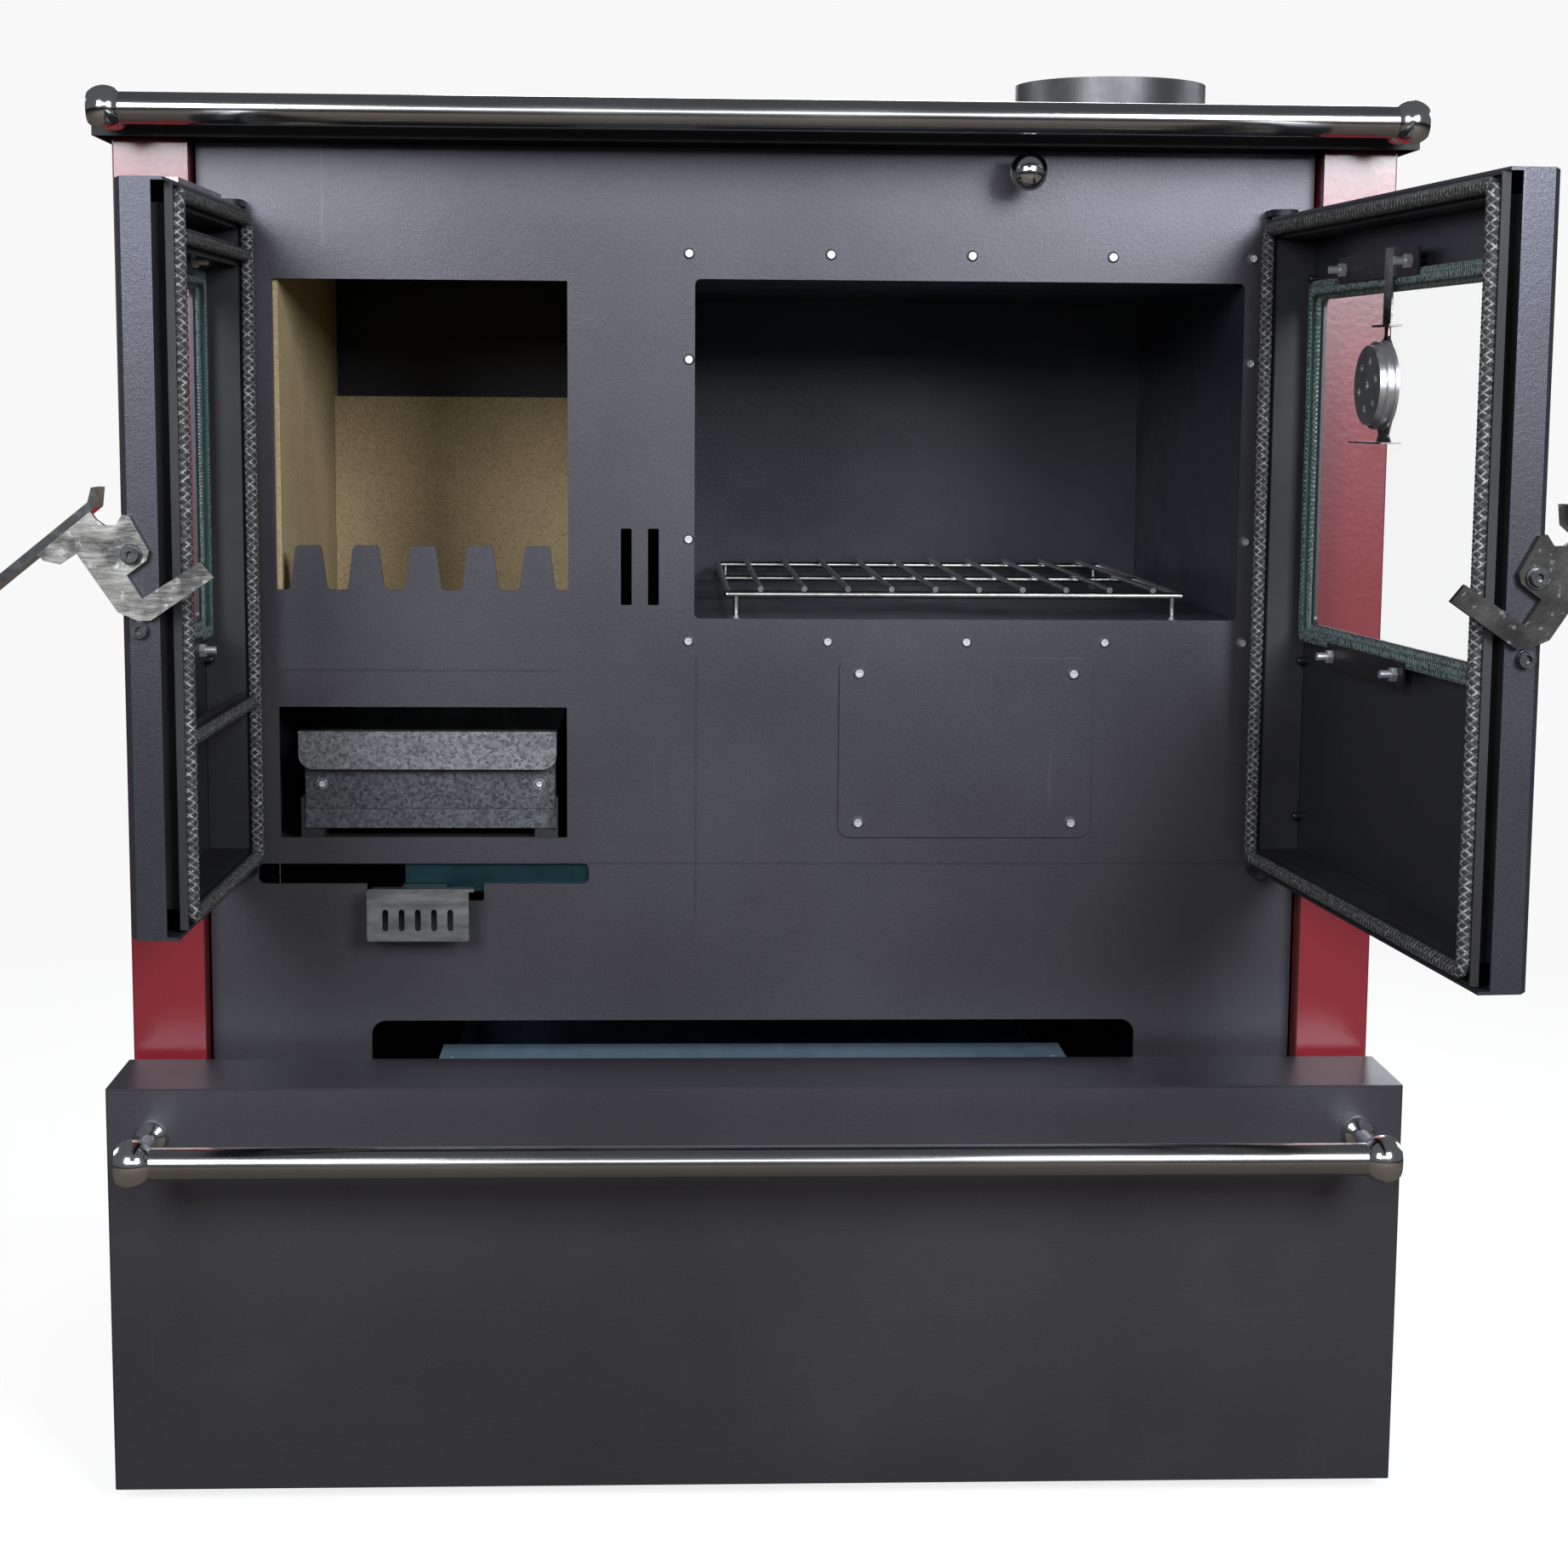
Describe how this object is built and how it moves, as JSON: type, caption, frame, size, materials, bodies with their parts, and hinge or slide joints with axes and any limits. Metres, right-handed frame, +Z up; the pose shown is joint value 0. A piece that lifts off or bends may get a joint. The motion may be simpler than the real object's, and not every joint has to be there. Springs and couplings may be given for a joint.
{
  "type": "wood cook stove",
  "caption": "Freestanding wood cook stove with a firebox, an oven, a wood drawer, glazed doors, a towel rail and a flue collar.",
  "frame": {"origin": "centre of the body's footprint, on the underside of the base, at floor level", "axes": "+Z up, +X to the stove's right as seen from the front, +Y from the front to the back"},
  "size_m": [1.0037, 1.0222, 0.985],
  "materials": {
    "red_enamel": "smooth gloss",
    "dark_paint": "satin",
    "black_paint": "matt",
    "cast_iron": "cast, ground top",
    "chrome": "polished",
    "raw_steel": "bare, lightly scratched",
    "zinc": "zinc plated",
    "galvanised": "galvanised",
    "black_bolt": "blackened",
    "firebrick": "pressed mineral board with flecks",
    "rope": "braided glass rope",
    "tape": "woven glass tape",
    "glass": "clear heat-proof glass",
    "rack_wire": "plated wire",
    "dial_steel": "polished stainless"
  },
  "bodies": {
    "root": {"base_tray": "black_paint", "side_panel_left": "red_enamel", "side_panel_right": "red_enamel", "back_panel": "black_paint", "front_plate": "dark_paint", "hob_frame": "black_paint", "hob_plate": "cast_iron", "hob_ring": "cast_iron", "hob_lid": "cast_iron", "flue_collar": "raw_steel", "top_rail": "chrome", "rail_end_left": "chrome", "rail_end_right": "chrome", "firebox_casing": "black_paint", "firebrick_left": "firebrick", "firebrick_right": "firebrick", "firebrick_back": "firebrick", "fire_grate": "cast_iron", "ash_guides": "black_paint", "oven_box": "black_paint", "oven_screws": "zinc", "cover_plate": "dark_paint", "cover_screws": "zinc", "drawer_runners": "zinc", "hinge_lugs": "raw_steel"},
    "firebox_door": {"door_skin_left": "dark_paint", "door_frame_left": "black_paint", "door_rope_left": "rope", "door_glass_left": "glass", "glass_seal_left": "tape", "glass_clips_left": "raw_steel", "latch_bolts_left": "black_bolt", "door_strap_left": "raw_steel"},
    "firebox_latch": {"latch_left": "raw_steel", "latch_grip_left": "chrome"},
    "oven_door": {"door_skin_right": "dark_paint", "door_frame_right": "black_paint", "door_rope_right": "rope", "door_glass_right": "glass", "glass_seal_right": "tape", "glass_clips_right": "raw_steel", "latch_bolts_right": "black_bolt", "thermometer": "dial_steel", "thermometer_hanger": "raw_steel"},
    "oven_latch": {"latch_right": "dark_paint", "latch_grip_right": "chrome"},
    "wood_drawer": {"drawer_front": "dark_paint", "wood_box": "galvanised", "drawer_bar": "chrome", "bar_end_left": "chrome", "bar_end_right": "chrome"},
    "ash_drawer": {"ash_pan": "galvanised", "ash_pan_lip": "galvanised"},
    "air_shutter": {"air_slide": "galvanised"},
    "flue_damper": {"damper_rod": "chrome", "damper_knob": "chrome", "damper_plate": "black_paint"},
    "rack": {"oven_rack": "rack_wire"}
  },
  "joints": [
    {"name": "firebox_door_hinge", "type": "hinge", "parent": "root", "child": "firebox_door", "pos_m": [-0.35, -0.295, 0.63], "axis": [0, 0, -1], "range_deg": [-91.4, 14]},
    {"name": "oven_door_hinge", "type": "hinge", "parent": "root", "child": "oven_door", "pos_m": [0.35, -0.295, 0.63], "axis": [0, 0, 1], "range_deg": [-95, 12]},
    {"name": "firebox_latch_turn", "type": "hinge", "parent": "firebox_door", "child": "firebox_latch", "pos_m": [-0.36935, -0.5546, 0.636], "axis": [0.0244, 0.9997, 0], "range_deg": [-16, 0]},
    {"name": "oven_latch_turn", "type": "hinge", "parent": "oven_door", "child": "oven_latch", "pos_m": [0.39956, -0.71227, 0.636], "axis": [0.0872, -0.9962, 0], "range_deg": [-16, 0]},
    {"name": "wood_drawer_slide", "type": "slide", "parent": "root", "child": "wood_drawer", "axis": [0, -1, 0], "range_m": [-0.014, 0.38]},
    {"name": "ash_pan_slide", "type": "slide", "parent": "root", "child": "ash_drawer", "axis": [0, -1, 0], "range_m": [0, 0.28]},
    {"name": "air_shutter_slide", "type": "slide", "parent": "root", "child": "air_shutter", "axis": [1, 0, 0], "range_m": [-0.023, 0.023]},
    {"name": "damper_pull", "type": "slide", "parent": "root", "child": "flue_damper", "axis": [0, -1, 0], "range_m": [0, 0.06]},
    {"name": "rack_slide", "type": "slide", "parent": "root", "child": "rack", "axis": [0, -1, 0], "range_m": [0, 0.26]}
  ]
}
